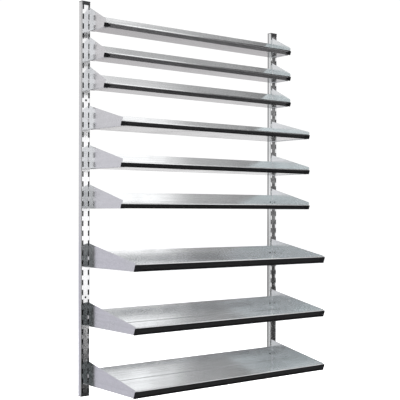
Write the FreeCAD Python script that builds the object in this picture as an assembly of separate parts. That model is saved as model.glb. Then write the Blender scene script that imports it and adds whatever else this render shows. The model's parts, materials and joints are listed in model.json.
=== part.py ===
import FreeCAD, Part
import math
import os

# A wall rack: two slotted tube uprights on the wall carry folded steel shelves of three depths.
# Each shelf is a tray between two side brackets, and its hooks drop into the slots of the uprights.
# Millimetres. +Z is up and the rack faces -Y. The origin is the middle of the four wall holes,
# on the front faces of the uprights. The wall lies behind, at y = UPRIGHT_DEPTH.

# Uprights
UPRIGHT_LENGTH = 2000.0
UPRIGHT_SPACING = 1300.0  # from centre line to centre line
UPRIGHT_WIDTH = 50.0
UPRIGHT_DEPTH = 30.0
UPRIGHT_SHEET = 2.0
UPRIGHT_CORNER = 3.5  # outer radius of the tube's corners
SLOT_PITCH = 50.0
SLOT_HEIGHT = 28.0
SLOT_WIDTH = 8.0
SLOT_COLUMN_SPACING = 34.0
WALL_HOLE_DIAMETER = 11.0
WALL_HOLE_PITCH = 1000.0
CAP_PLATE = 3.0
CAP_PLUG = 9.0
CAP_WALL = 2.0
CAP_SKIRT = 1.5
CAP_SKIRT_HEIGHT = 16.0
CAP_CLEARANCE = 0.2

# Shelf places: the rack has three groups of shelves, deepest at the bottom
SHELVES_PER_GROUP = 3
LOWEST_SHELF_SLOT = 1  # slots left free under the lowest shelf
BOTTOM_REACH = 435.0  # from the uprights to the front of the ticket strip
MIDDLE_REACH = 315.0
TOP_REACH = 160.0
BOTTOM_STEP = 6  # slots from a shelf of this group to the shelf above it
MIDDLE_STEP = 4
TOP_STEP = 3
BOTTOM_STRIP_HEIGHT = 33.0  # along the leaning lip
MIDDLE_STRIP_HEIGHT = 21.0
TOP_STRIP_HEIGHT = 21.0

# Brackets
BRACKET_SHEET = 2.0
BRACKET_BEND = 3.0  # radius at the middle of the sheet
BRACKET_REAR_HEIGHT = 125.0
BRACKET_FRONT_HEIGHT = 40.0
BRACKET_FLANGE = 24.0  # inward width under the tray
BRACKET_REAR_GAP = 0.3  # from the rear edge to the upright
BRACKET_CHAMFER = 5.0  # at the two corners of its top edge
NECK_HEIGHT = 14.0
NOSE_DROP = 11.0
NOSE_WIDTH = 8.0
NOSE_CHAMFER = 3.0
NOSE_GAP = 0.4  # between the nose and the inside of the tube
HOOK_SEAT_GAP = 0.2  # between the neck and the foot of its slot
TAB_HEIGHT = 26.0
TAB_WIDTH = 32.0
TAB_SCREW_INSET = 18.0  # from the inner face of the bracket plate

# Trays
TRAY_SHEET = 1.2
TRAY_BEND = 2.2  # radius at the middle of the sheet
TRAY_BACK_GAP = 10.0  # from the uprights to the back of the upstand
TRAY_END_GAP = 0.5  # from the ends of the tray to the bends of the brackets
UPSTAND_HEIGHT = 85.0
UPSTAND_HEM = 12.0
LIP_LEAN = 20.0  # degrees, with the top edge to the front
LIP_OVER_STRIP = 5.0
LIP_OVERHANG = 5.0  # past the outer faces of the brackets, whose front edges the lip covers
LIP_HEM = 8.0
HEM_GAP = 0.8  # between a hem and the sheet that it is folded back on
SEAT_GAP = 0.2  # between pieces that are fastened to each other

# Ticket strips
STRIP_WALL = 1.0
STRIP_DEPTH = 4.0
STRIP_RISE = 2.0  # from the foot of the lip to the foot of the strip
STRIP_LIP_SHARE = 0.2  # of the strip height, for each of its two lips
STRIP_OVERHANG = 1.0  # past the ends of the tray's lip
END_CAP_LENGTH = 24.0
END_CAP_CHAMFER = 2.0
END_TONGUE_LENGTH = 12.0
END_TONGUE_GAP = 0.3

# Screws
SCREW_DIAMETER = 4.0
SCREW_LENGTH = 7.0
SCREW_HEAD_DIAMETER = 9.0
SCREW_HEAD_HEIGHT = 3.0
SCREW_HEAD_CHAMFER = 1.2
SCREW_SIDES = 6  # the screws and their holes are drawn as prisms
TRAY_HOLE_CLEARANCE = 1.0  # across the hole
TAB_HOLE_CLEARANCE = 0.2

# Worked out from the sizes above
LEAN = math.radians(LIP_LEAN)
UPRIGHT_BOTTOM = -UPRIGHT_LENGTH / 2
SLOT_COUNT = int(UPRIGHT_LENGTH / SLOT_PITCH)
PLATE_MID_X = UPRIGHT_SPACING / 2 - SLOT_COLUMN_SPACING / 2
PLATE_OUTER_X = PLATE_MID_X + BRACKET_SHEET / 2
PLATE_INNER_X = PLATE_MID_X - BRACKET_SHEET / 2
BEND_REACH = BRACKET_BEND + BRACKET_SHEET / 2  # from an outer face to where its bend starts
TRAY_HALF_LENGTH = PLATE_OUTER_X - BEND_REACH - TRAY_END_GAP
LIP_HALF_LENGTH = PLATE_OUTER_X + LIP_OVERHANG
STRIP_REACH = LIP_HALF_LENGTH + STRIP_OVERHANG  # to the outer ends of the end caps
STRIP_HALF_LENGTH = STRIP_REACH - END_CAP_LENGTH - SEAT_GAP
DECK_MID_Z = BRACKET_SHEET + SEAT_GAP + TRAY_SHEET / 2
UPSTAND_MID_Y = -TRAY_BACK_GAP - TRAY_SHEET / 2
LOWER_NECK_Z = SLOT_PITCH / 2 - SLOT_HEIGHT / 2 + HOOK_SEAT_GAP
UPPER_NECK_Z = LOWER_NECK_Z + SLOT_PITCH
TAB_MID_Z = (LOWER_NECK_Z + NECK_HEIGHT + UPPER_NECK_Z) / 2
TAB_BACK_Y = -TRAY_BACK_GAP + SEAT_GAP + BRACKET_SHEET
SCREW_X = PLATE_INNER_X - TAB_SCREW_INSET
STRIP_FRONT = SEAT_GAP + STRIP_DEPTH
HEM_STEP = HEM_GAP + TRAY_SHEET  # from the middle of the sheet to the middle of its hem
SHARP = 0.0  # the bend of a corner that is drawn square
PLATE_FRONT = -TRAY_SHEET - SEAT_GAP  # the plates end just behind the lip's sheet
LIP_CLEAR_OF_DECK = TRAY_BEND + TRAY_SHEET  # where the lip's overhang starts above its foot
SAME_POINT = 1e-6


def vector(x, y, z):
    return FreeCAD.Vector(x, y, z)


def folded_face(points, sheet, bends, to_space):
    """A folded sheet's section: a band along a bent line, with a bend at each inner point.

    points are pairs along the middle of the sheet, bends the radius at each inner point or SHARP, and
    to_space turns a pair into a point in space.
    """
    flat = [FreeCAD.Vector(u, v, 0) for u, v in points]
    left_side = []
    right_side = []

    def add(side, *corners):
        side.append(corners)

    def offset(point, direction, distance):
        return point + FreeCAD.Vector(-direction.y, direction.x, 0) * distance

    half = sheet / 2
    runs = [(b - a).normalize() for a, b in zip(flat, flat[1:])]
    left_from = offset(flat[0], runs[0], half)
    right_from = offset(flat[0], runs[0], -half)
    start = (right_from, left_from)
    for corner, before, after, bend in zip(flat[1:-1], runs, runs[1:], bends):
        turn = math.atan2(before.x * after.y - before.y * after.x, before.dot(after))
        if bend == SHARP:
            mitre = offset(FreeCAD.Vector(), (before + after).normalize(), half / math.cos(turn / 2))
            add(left_side, left_from, corner + mitre)
            add(right_side, right_from, corner - mitre)
            left_from = corner + mitre
            right_from = corner - mitre
            continue
        back = bend * math.tan(abs(turn) / 2)
        first = corner - before * back
        last = corner + after * back
        centre = offset(first, before, math.copysign(bend, turn))
        middle_way = (corner - centre).normalize()
        for side, distance, begin in ((left_side, half, left_from), (right_side, -half, right_from)):
            enter = offset(first, before, distance)
            leave = offset(last, after, distance)
            radius = (enter - centre).Length
            if (enter - begin).Length > SAME_POINT:
                add(side, begin, enter)
            add(side, enter, centre + middle_way * radius, leave)
        left_from = offset(last, after, half)
        right_from = offset(last, after, -half)
    left_to = offset(flat[-1], runs[-1], half)
    right_to = offset(flat[-1], runs[-1], -half)
    if (left_to - left_from).Length > SAME_POINT:
        add(left_side, left_from, left_to)
        add(right_side, right_from, right_to)
    back_along = [tuple(reversed(stretch)) for stretch in reversed(right_side)]
    outline = [start] + left_side + [(left_to, right_to)] + back_along
    edges = []
    for stretch in outline:
        corners = [to_space(point.x, point.y) for point in stretch]
        if len(corners) == 2:
            edges.append(Part.LineSegment(*corners).toShape())
        else:
            edges.append(Part.Arc(*corners).toShape())
    return Part.Face(Part.Wire(edges))


def polygon_face(points, to_space):
    corners = [to_space(u, v) for u, v in points]
    return Part.Face(Part.makePolygon(corners + corners[:1]))


def slab(low, high):
    """A box between two corners."""
    return Part.makeBox(*(h - l for l, h in zip(low, high)), vector(*low))


def mirrored(shape):
    return shape.mirror(vector(0, 0, 0), vector(1, 0, 0))


def slot_centre(number):
    return UPRIGHT_BOTTOM + SLOT_PITCH * (number + 0.5)


def upright_edges(block):
    return [e for e in block.Edges if abs(e.tangentAt(e.FirstParameter).z) > 0.5]


def rounded_bar(inset):
    """A bar of the upright's outline, smaller by inset all round."""
    half = UPRIGHT_WIDTH / 2 - inset
    top = UPRIGHT_BOTTOM + UPRIGHT_LENGTH
    bar = slab((-half, inset, UPRIGHT_BOTTOM), (half, UPRIGHT_DEPTH - inset, top))
    return bar.makeFillet(UPRIGHT_CORNER - inset, upright_edges(bar))


def upright():
    """A rectangular tube with two columns of slots in its front, and wall holes through front and back."""
    tube = rounded_bar(0).cut(rounded_bar(UPRIGHT_SHEET))
    past = UPRIGHT_SHEET / 2  # the cuts run this far past the sheet
    cuts = []
    for number in range(SLOT_COUNT):
        foot = slot_centre(number) - SLOT_HEIGHT / 2
        for column in (-SLOT_COLUMN_SPACING / 2, SLOT_COLUMN_SPACING / 2):
            low = (column - SLOT_WIDTH / 2, -past, foot)
            high = (column + SLOT_WIDTH / 2, UPRIGHT_SHEET + past, foot + SLOT_HEIGHT)
            cuts.append(slab(low, high))
    for height in (-WALL_HOLE_PITCH / 2, WALL_HOLE_PITCH / 2):
        start = vector(0, -past, height)
        length = UPRIGHT_DEPTH + 2 * past
        cuts.append(Part.makeCylinder(WALL_HOLE_DIAMETER / 2, length, start, vector(0, 1, 0)))
    return tube.cut(Part.makeCompound(cuts))


def screw_prism(corner_radius, start_y, length):
    """A prism along +Y about the screw's axis."""
    turns = [2 * math.pi * corner / SCREW_SIDES for corner in range(SCREW_SIDES)]
    corners = [(corner_radius * math.cos(turn), corner_radius * math.sin(turn)) for turn in turns]
    return polygon_face(corners, lambda x, z: vector(x, start_y, z)).extrude(vector(0, length, 0))


def hole_corners(diameter):
    """The corner radius of a screw hole that is this wide between its sides."""
    return diameter / 2 / math.cos(math.pi / SCREW_SIDES)


def top_cap():
    """A plate over the upright's end, a skirt down its front and a hollow plug inside the tube."""
    end = UPRIGHT_BOTTOM + UPRIGHT_LENGTH
    half = UPRIGHT_WIDTH / 2
    front = -CAP_CLEARANCE - CAP_SKIRT
    plate = slab((-half, front, end), (half, UPRIGHT_DEPTH, end + CAP_PLATE))
    plate = plate.makeChamfer(UPRIGHT_CORNER / 2, upright_edges(plate))
    flat_half = half - UPRIGHT_CORNER
    skirt = slab((-flat_half, front, end - CAP_SKIRT_HEIGHT), (flat_half, -CAP_CLEARANCE, end))
    inset = UPRIGHT_SHEET + CAP_CLEARANCE
    low = (-half + inset, inset, end - CAP_PLUG)
    high = (half - inset, UPRIGHT_DEPTH - inset, end)
    plug = slab(low, high)
    plug = plug.makeChamfer(UPRIGHT_CORNER - UPRIGHT_SHEET, upright_edges(plug))
    hollow_low = (low[0] + CAP_WALL, low[1] + CAP_WALL, low[2])
    hollow_high = (high[0] - CAP_WALL, high[1] - CAP_WALL, high[2])
    return plate.fuse([skirt, plug.cut(slab(hollow_low, hollow_high))]).removeSplitter()


def bottom_cap(cap):
    return cap.mirror(vector(0, 0, 0), vector(0, 0, 1))


class Shelf:
    """One group's shelf, modelled with the foot of its brackets at z = 0."""

    def __init__(self, reach, strip_height):
        self.strip_height = strip_height
        self.strip_top = STRIP_RISE + strip_height
        lip_run = self.strip_top * math.sin(LEAN) + STRIP_FRONT * math.cos(LEAN)
        self.lip_foot_y = lip_run - reach

    def on_lip(self, along, out):
        """The point so far up the lip's outer face, and so far out from it, as y and z."""
        y = self.lip_foot_y - along * math.sin(LEAN) - out * math.cos(LEAN)
        z = along * math.cos(LEAN) - out * math.sin(LEAN)
        return y, z

    def along_at(self, z, out):
        """How far up the lip a height lies, at a distance out from its outer face."""
        return (z + out * math.sin(LEAN)) / math.cos(LEAN)

    def tray(self):
        """One folded sheet: rear upstand with a hem, flat deck, and a leaning front lip with a hem."""
        middle = -TRAY_SHEET / 2
        hem_out = middle - HEM_STEP
        lip_top = self.strip_top + LIP_OVER_STRIP - TRAY_SHEET / 2
        upstand_top = UPSTAND_HEIGHT - TRAY_SHEET / 2
        hem_y = UPSTAND_MID_Y + HEM_STEP
        line = [
            (hem_y, upstand_top - UPSTAND_HEM),
            (hem_y, upstand_top),
            (UPSTAND_MID_Y, upstand_top),
            (UPSTAND_MID_Y, DECK_MID_Z),
            self.on_lip(self.along_at(DECK_MID_Z, middle), middle),
            self.on_lip(lip_top, middle),
            self.on_lip(lip_top, hem_out),
            self.on_lip(lip_top - LIP_HEM, hem_out),
        ]
        bends = [SHARP, SHARP, TRAY_BEND, TRAY_BEND, SHARP, SHARP]
        face = folded_face(line, TRAY_SHEET, bends, lambda y, z: vector(-TRAY_HALF_LENGTH, y, z))
        sheet = face.extrude(vector(2 * TRAY_HALF_LENGTH, 0, 0))
        holes = []
        diameter = SCREW_DIAMETER + TRAY_HOLE_CLEARANCE
        for x in (-SCREW_X, SCREW_X):
            hole = screw_prism(hole_corners(diameter), UPSTAND_MID_Y - TRAY_SHEET, 2 * TRAY_SHEET)
            holes.append(hole.translated(vector(x, 0, TAB_MID_Z)))
        return self.with_overhangs(sheet.cut(Part.makeCompound(holes)), lip_top - TRAY_SHEET / 2)

    def with_overhangs(self, sheet, top):
        """The tray with its lip carried past both brackets, to cover their front edges."""
        foot = LIP_CLEAR_OF_DECK
        overlap = TRAY_SHEET  # each end runs this far into the sheet
        corners = [(foot, 0), (foot, -TRAY_SHEET), (top, -TRAY_SHEET), (top, 0)]
        start = TRAY_HALF_LENGTH - overlap
        face = polygon_face(corners, self.lip_place(start))
        end = face.extrude(vector(LIP_HALF_LENGTH - start, 0, 0))
        return sheet.fuse([end, mirrored(end)]).removeSplitter()

    def hook_line(self, neck_foot):
        """The outline of one hook, from under its neck to the top of its neck."""
        rear = -BRACKET_REAR_GAP
        nose_y = UPRIGHT_SHEET + NOSE_GAP
        tip_y = nose_y + NOSE_WIDTH
        neck_top = neck_foot + NECK_HEIGHT
        nose_foot = neck_foot - NOSE_DROP
        return [
            (rear, neck_foot),
            (nose_y, neck_foot),
            (nose_y, nose_foot + NOSE_CHAMFER),
            (nose_y + NOSE_CHAMFER, nose_foot),
            (tip_y, nose_foot),
            (tip_y, neck_top - NOSE_CHAMFER),
            (tip_y - NOSE_CHAMFER, neck_top),
            (rear, neck_top),
        ]

    def bracket_plate(self):
        """The flat side plate with its two hooks, cut back where its two flanges start."""
        rear = -BRACKET_REAR_GAP
        tab_start = TAB_BACK_Y - BEND_REACH
        tab_foot = TAB_MID_Z - TAB_HEIGHT / 2
        tab_top = TAB_MID_Z + TAB_HEIGHT / 2
        outline = [(rear, BEND_REACH)]
        outline += self.hook_line(LOWER_NECK_Z)
        outline += [(rear, tab_foot), (tab_start, tab_foot), (tab_start, tab_top), (rear, tab_top)]
        outline += self.hook_line(UPPER_NECK_Z)
        outline += [(rear, BRACKET_REAR_HEIGHT)]
        for z in (BRACKET_FRONT_HEIGHT, BEND_REACH):
            outline.append(self.on_lip(self.along_at(z, PLATE_FRONT), PLATE_FRONT))
        face = polygon_face(outline, lambda y, z: vector(-PLATE_OUTER_X, y, z))
        plate = face.extrude(vector(BRACKET_SHEET, 0, 0))
        across = [e for e in plate.Edges if abs(e.tangentAt(e.FirstParameter).x) > 0.5]
        rear_corner = max(across, key=lambda e: e.CenterOfMass.z)
        front_corner = min(across, key=lambda e: e.CenterOfMass.y)
        return plate.makeChamfer(BRACKET_CHAMFER, [rear_corner, front_corner])

    def bracket(self):
        """The left bracket: plate, bottom flange under the tray and rear screw tab."""
        inner_half = BRACKET_SHEET / 2
        overlap = BRACKET_SHEET  # each flange's leg runs this far into the plate
        edge = -PLATE_MID_X
        flange_end = -PLATE_OUTER_X + BRACKET_FLANGE
        start_y = -TRAY_BACK_GAP - BEND_REACH
        stop_y = self.lip_foot_y + 2 * BEND_REACH
        flange_line = [(edge, BEND_REACH + overlap), (edge, inner_half), (flange_end, inner_half)]
        flange = folded_face(flange_line, BRACKET_SHEET, [BRACKET_BEND], lambda x, z: vector(x, start_y, z))
        pieces = [flange.extrude(vector(0, stop_y - start_y, 0))]

        tab_y = TAB_BACK_Y - inner_half
        tab_end = -PLATE_OUTER_X + TAB_WIDTH
        tab_line = [(edge, TAB_BACK_Y - BEND_REACH - overlap), (edge, tab_y), (tab_end, tab_y)]
        tab_foot = TAB_MID_Z - TAB_HEIGHT / 2
        tab = folded_face(tab_line, BRACKET_SHEET, [SHARP], lambda x, y: vector(x, y, tab_foot))
        pieces.append(tab.extrude(vector(0, 0, TAB_HEIGHT)))

        body = self.bracket_plate().fuse(pieces).removeSplitter()
        diameter = SCREW_DIAMETER + TAB_HOLE_CLEARANCE
        hole = screw_prism(hole_corners(diameter), tab_y - BRACKET_SHEET, 2 * BRACKET_SHEET)
        return body.cut(hole.translated(vector(-SCREW_X, 0, TAB_MID_Z)))

    def lip_place(self, x):
        """Turns a distance up the lip and a distance out from it into a point, at this x."""
        return lambda along, out: vector(x, *self.on_lip(along, out))

    def ticket_strip(self):
        """A channel for price tickets: a back wall and two lips that hold the tickets' edges."""
        half = STRIP_WALL / 2
        foot = STRIP_RISE + half
        top = self.strip_top - half
        back = SEAT_GAP + half
        front = STRIP_FRONT - half
        lip = self.strip_height * STRIP_LIP_SHARE
        lower = [(foot + lip, front), (foot, front), (foot, back)]
        upper = [(top, back), (top, front), (top - lip, front)]
        face = folded_face(lower + upper, STRIP_WALL, [SHARP] * 4, self.lip_place(-STRIP_HALF_LENGTH))
        return face.extrude(vector(2 * STRIP_HALF_LENGTH, 0, 0))

    def strip_block(self, inset, end_x, length):
        """A block along the strip's section, smaller by inset all round, that ends at end_x."""
        low, high = STRIP_RISE + inset, self.strip_top - inset
        back, front = SEAT_GAP + inset, STRIP_FRONT - inset
        face = polygon_face([(low, back), (high, back), (high, front), (low, front)], self.lip_place(end_x))
        return face.extrude(vector(-length, 0, 0))

    def strip_ends(self):
        """Two moulded ends that close the ticket strip, each with a tongue in its channel."""
        block = self.strip_block(0, STRIP_REACH, END_CAP_LENGTH)
        end_edges = [e for e in block.Edges if e.CenterOfMass.x > STRIP_REACH - SAME_POINT]
        front_edge = max(end_edges, key=self.out_from_lip)
        block = block.makeChamfer(END_CAP_CHAMFER, [front_edge])
        inset = STRIP_WALL + END_TONGUE_GAP
        tongue = self.strip_block(inset, STRIP_REACH - END_CAP_LENGTH, END_TONGUE_LENGTH)
        end = block.fuse(tongue).removeSplitter()
        return Part.makeCompound([end, mirrored(end)])

    def out_from_lip(self, edge):
        """How far an edge lies out from the lip's outer face."""
        middle = edge.CenterOfMass
        return (self.lip_foot_y - middle.y) * math.cos(LEAN) - middle.z * math.sin(LEAN)

    def screws(self):
        """Two screws, through the tray's upstand into the brackets' tabs."""
        seat_y = UPSTAND_MID_Y - TRAY_SHEET / 2 - SEAT_GAP
        head = screw_prism(SCREW_HEAD_DIAMETER / 2, seat_y - SCREW_HEAD_HEIGHT, SCREW_HEAD_HEIGHT)
        rim = [e for e in head.Edges if e.BoundBox.YMax < seat_y - SCREW_HEAD_HEIGHT / 2]
        head = head.makeChamfer(SCREW_HEAD_CHAMFER, rim)
        screw = head.fuse(screw_prism(SCREW_DIAMETER / 2, seat_y, SCREW_LENGTH))
        return Part.makeCompound([screw.translated(vector(x, 0, TAB_MID_Z)) for x in (-SCREW_X, SCREW_X)])

    def pieces(self):
        left = self.bracket()
        return {
            "tray": self.tray(),
            "left_bracket": left,
            "right_bracket": mirrored(left),
            "ticket_strip": self.ticket_strip(),
            "strip_ends": self.strip_ends(),
            "screws": self.screws(),
        }


def save(name, shape):
    if not shape.isValid():
        raise ValueError(name + " is not a valid solid")
    shape.exportStep("parts/" + name + ".step")


def save_uprights():
    tube = upright()
    cap = top_cap()
    named = {"upright": tube, "top_cap": cap, "bottom_cap": bottom_cap(cap)}
    for side, x in (("left", -UPRIGHT_SPACING / 2), ("right", UPRIGHT_SPACING / 2)):
        for name, shape in named.items():
            save(side + "_" + name, shape.translated(vector(x, 0, 0)))


def save_shelves():
    """The shelves, counted from the bottom up in three groups, as far as the uprights reach."""
    groups = (
        (BOTTOM_REACH, BOTTOM_STRIP_HEIGHT, BOTTOM_STEP),
        (MIDDLE_REACH, MIDDLE_STRIP_HEIGHT, MIDDLE_STEP),
        (TOP_REACH, TOP_STRIP_HEIGHT, TOP_STEP),
    )
    highest_foot = UPRIGHT_BOTTOM + UPRIGHT_LENGTH - CAP_SKIRT_HEIGHT - BRACKET_REAR_HEIGHT
    number = 1
    foot = UPRIGHT_BOTTOM + SLOT_PITCH * LOWEST_SHELF_SLOT
    for reach, strip_height, step in groups:
        pieces = Shelf(reach, strip_height).pieces()
        for _ in range(SHELVES_PER_GROUP):
            if foot > highest_foot:
                return
            for name, shape in pieces.items():
                save("shelf_%d_%s" % (number, name), shape.translated(vector(0, 0, foot)))
            number += 1
            foot += SLOT_PITCH * step


os.makedirs("parts", exist_ok=True)
save_uprights()
save_shelves()
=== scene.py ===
"""The looks of a wall rack: steel and plastic finishes, ticket strips, screws and a plain studio.

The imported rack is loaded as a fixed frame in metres. +Z is up and the rack faces -Y.
"""

import json
import math

import bmesh
import bpy
from bpy.props import FloatProperty, FloatVectorProperty, IntProperty, PointerProperty
from mathutils import Matrix, Vector

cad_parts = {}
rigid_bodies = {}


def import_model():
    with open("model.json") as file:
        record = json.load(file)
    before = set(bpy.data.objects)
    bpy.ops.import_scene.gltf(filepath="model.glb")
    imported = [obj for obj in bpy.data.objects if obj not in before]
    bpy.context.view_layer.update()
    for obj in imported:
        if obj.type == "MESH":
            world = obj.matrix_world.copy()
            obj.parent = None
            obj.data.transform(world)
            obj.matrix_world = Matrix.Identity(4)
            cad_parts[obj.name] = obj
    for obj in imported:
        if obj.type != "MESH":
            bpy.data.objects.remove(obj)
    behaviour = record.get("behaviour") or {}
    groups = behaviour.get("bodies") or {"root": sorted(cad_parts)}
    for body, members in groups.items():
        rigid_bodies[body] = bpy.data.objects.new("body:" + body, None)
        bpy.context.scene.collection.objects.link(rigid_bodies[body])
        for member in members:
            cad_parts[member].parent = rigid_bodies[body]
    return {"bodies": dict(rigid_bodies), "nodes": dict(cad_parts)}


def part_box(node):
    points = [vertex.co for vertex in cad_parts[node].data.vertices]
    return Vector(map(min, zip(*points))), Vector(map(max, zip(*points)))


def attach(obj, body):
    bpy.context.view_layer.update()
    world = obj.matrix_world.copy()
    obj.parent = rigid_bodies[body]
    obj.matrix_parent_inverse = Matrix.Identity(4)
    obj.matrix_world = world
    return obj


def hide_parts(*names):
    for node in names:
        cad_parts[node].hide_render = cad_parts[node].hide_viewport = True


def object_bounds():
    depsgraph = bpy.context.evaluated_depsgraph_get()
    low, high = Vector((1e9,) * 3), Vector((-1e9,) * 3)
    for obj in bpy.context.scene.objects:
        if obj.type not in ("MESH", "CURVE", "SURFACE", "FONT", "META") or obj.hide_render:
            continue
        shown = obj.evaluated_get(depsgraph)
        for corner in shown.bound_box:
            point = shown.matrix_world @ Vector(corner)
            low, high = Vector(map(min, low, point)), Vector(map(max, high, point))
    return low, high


bl_info = {
    "name": "Wall Rack Looks",
    "version": (1, 0, 0),
    "blender": (4, 5, 0),
    "location": "3D View > Sidebar > Wall Rack",
    "description": "Finishes, ticket strips, screws and a studio for a wall rack with hook-in shelves",
    "category": "Object",
}

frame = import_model()
CAD_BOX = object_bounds()
SHELVES = sorted(body for body in frame["bodies"] if body.startswith("shelf_"))
SIDES = ("left", "right")
WHITE = (1.0, 1.0, 1.0)
SHARP_ANGLE = math.radians(40.0)
SOCKET_CORNERS = 6
CAD_SCREW_SIDES = 6  # the CAD screws are prisms with their corners to the left and right


class RackFinishSettings(bpy.types.PropertyGroup):
    """Colours and grain of the finishes."""

    upright_colour: FloatVectorProperty(
        name="Upright Zinc", description="Colour of the zinc on the uprights",
        default=(0.86, 0.86, 0.87), size=3, min=0, max=1, subtype="COLOR")
    tray_colour: FloatVectorProperty(
        name="Tray Steel", description="Colour of the bright trays",
        default=(0.87, 0.88, 0.89), size=3, min=0, max=1, subtype="COLOR")
    bracket_colour: FloatVectorProperty(
        name="Bracket Steel", description="Colour of the side brackets",
        default=(0.85, 0.85, 0.87), size=3, min=0, max=1, subtype="COLOR")
    strip_colour: FloatVectorProperty(
        name="Ticket Strip", description="Colour of the black ticket strips",
        default=(0.0035, 0.0035, 0.004), size=3, min=0, max=1, subtype="COLOR")
    # Strips and their beds go over to this lighter grey towards the top of the rack.
    top_strip_colour: FloatVectorProperty(
        name="Strip Near Top", description="Colour of a ticket strip near the top, lighter than lower down",
        default=(0.065, 0.064, 0.066), size=3, min=0, max=1, subtype="COLOR")
    bed_colour: FloatVectorProperty(
        name="Ticket Bed", description="Colour of the bed that tickets lie on",
        default=(0.007, 0.007, 0.0075), size=3, min=0, max=1, subtype="COLOR")
    cap_colour: FloatVectorProperty(
        name="End Cap", description="Colour of the moulded end caps",
        default=(0.010, 0.010, 0.011), size=3, min=0, max=1, subtype="COLOR")
    screw_colour: FloatVectorProperty(
        name="Screw Plate", description="Colour of the black zinc plate on the screws",
        default=(0.045, 0.045, 0.048), size=3, min=0, max=1, subtype="COLOR")
    # Painted shade: a near-black colour for the inside of the uprights, where only shade falls.
    inside_shade_colour: FloatVectorProperty(
        name="Inside Shade", description="Colour of the painted shade inside the uprights",
        default=(0.035, 0.035, 0.037), size=3, min=0, max=1, subtype="COLOR")
    coated_colour: FloatVectorProperty(
        name="Coated Inside", description="Colour of the inside of an upright that is coated there too",
        default=(0.9, 0.9, 0.9), size=3, min=0, max=1, subtype="COLOR")
    spangle_size: FloatProperty(
        name="Spangle Size", description="Width of a zinc crystal on the steel",
        default=0.009, min=0.001, unit="LENGTH")
    grain_length: FloatProperty(
        name="Grain Length", description="Length of a rolling mark on the steel",
        default=0.12, min=0.001, unit="LENGTH")
    grain_width: FloatProperty(
        name="Grain Width", description="Width of a rolling mark on the steel",
        default=0.0009, min=0.0001, unit="LENGTH")
    # The bright edge line is partly wear and partly a painted highlight.
    edge_width: FloatProperty(
        name="Edge Width", description="Width of the bright line of wear and painted highlight along an edge",
        default=0.0012, min=0.0001, unit="LENGTH")
    crown_flat: FloatProperty(
        name="Crown Flat", description="Width of the flat middle of a crowned upright's front face",
        default=0.027, min=0, unit="LENGTH")
    crown_lean: FloatProperty(
        name="Crown Lean", description="How far a crowned front face leans back beside its flat middle",
        default=math.atan(0.096), unit="ROTATION", subtype="ANGLE")


class RackStripSettings(bpy.types.PropertyGroup):
    """Section of the ticket strips on the leaning lips of the trays."""

    lean: FloatProperty(
        name="Lean", description="How far the strip leans, with its top edge to the front",
        default=math.radians(20.0), unit="ROTATION", subtype="ANGLE")
    depth: FloatProperty(
        name="Depth", description="Depth of the strip, from its back to its front",
        default=0.004, min=0.001, unit="LENGTH")
    wall: FloatProperty(
        name="Wall", description="Thickness of the strip's walls",
        default=0.001, min=0.0002, unit="LENGTH")
    lip_share: FloatProperty(
        name="Lip Share", description="Height of each lip, as a share of the strip's height",
        default=0.23, min=0.05, max=0.45, subtype="FACTOR")
    rounding: FloatProperty(
        name="Rounding", description="Radius of the strip's two front corners",
        default=0.0016, min=0.0001, unit="LENGTH")
    steps: IntProperty(
        name="Steps", description="Number of flats that draw each rounded corner",
        default=5, min=1)


class RackScrewSettings(bpy.types.PropertyGroup):
    """Sizes of the screws that hold the trays to the brackets."""

    dome_share: FloatProperty(
        name="Dome Share", description="Share of the head's height that is domed",
        default=0.7, min=0.1, max=0.95, subtype="FACTOR")
    socket_width: FloatProperty(
        name="Socket Width", description="Width of the driver socket across its corners",
        default=0.0034, min=0.001, unit="LENGTH")
    socket_depth: FloatProperty(
        name="Socket Depth", description="Depth of the driver socket",
        default=0.0016, min=0.0002, unit="LENGTH")
    shank_diameter: FloatProperty(
        name="Shank Diameter", description="Diameter of the screw's shank",
        default=0.0036, min=0.001, unit="LENGTH")
    head_height: FloatProperty(
        name="Head Height", description="Height of the screw's head",
        default=0.003, min=0.001, unit="LENGTH")
    sides: IntProperty(
        name="Sides", description="Number of flats that draw the screw's round head",
        default=30, min=6)


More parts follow.
